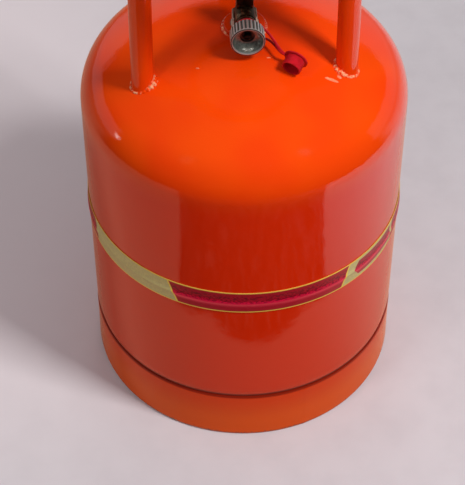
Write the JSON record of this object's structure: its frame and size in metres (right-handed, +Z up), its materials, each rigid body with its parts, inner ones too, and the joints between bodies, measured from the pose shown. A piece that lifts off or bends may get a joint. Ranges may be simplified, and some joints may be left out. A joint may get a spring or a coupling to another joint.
{
  "type": "gas cylinder",
  "caption": "Domed steel gas cylinder with foot ring, three-legged tube handle, brass valve with ribbed handwheel, and closure cap on a strap.",
  "frame": {"origin": "on the floor under the bottle's axis", "axes": "+Z up along the bottle's axis, the handwheel faces -Y"},
  "size_m": [0.3034, 0.3034, 0.55],
  "materials": {
    "enamel": "gloss",
    "foil": "gloss",
    "brass": "satin",
    "die_cast": "satin",
    "steel": "satin",
    "seal": "matte",
    "cap": "satin"
  },
  "bodies": {
    "cylinder": {"upper_shell": "enamel", "lower_shell": "enamel", "girth_weld": "enamel", "belt_band": "foil", "foot_ring": "enamel", "foot_ring_weld": "enamel", "valve_boss": "enamel", "boss_weld": "enamel", "handle_leg_left": "enamel", "handle_leg_right": "enamel", "handle_leg_rear": "enamel", "leg_weld_left": "enamel", "leg_weld_right": "enamel", "leg_weld_rear": "enamel", "ring_weld_left": "enamel", "ring_weld_right": "enamel", "ring_weld_rear": "enamel", "handle_ring": "enamel", "valve_body": "brass", "bonnet_gasket": "seal", "bonnet_nut": "brass", "spindle_o_ring": "seal", "outlet_gasket": "seal", "closure_cap": "cap"},
    "wheel": {"handwheel": "die_cast", "wheel_washer": "steel", "wheel_screw": "steel", "upper_spindle": "brass"},
    "seat": {"lower_spindle": "brass", "seat_pad": "seal"}
  },
  "joints": [
    {"name": "handwheel_turn", "type": "hinge", "parent": "cylinder", "child": "wheel", "pos_m": [0, 0, 0.4224], "axis": [0.061, -0.9981, 0], "range_deg": [0, 540]},
    {"name": "seat_travel", "type": "slide", "parent": "wheel", "child": "seat", "axis": [0.061, -0.9981, 0], "range_m": [0, 0.0025]}
  ],
  "couplings": [
    {"joint": "seat_travel", "follows": "handwheel_turn", "m_per_rad": 0.00023873}
  ]
}
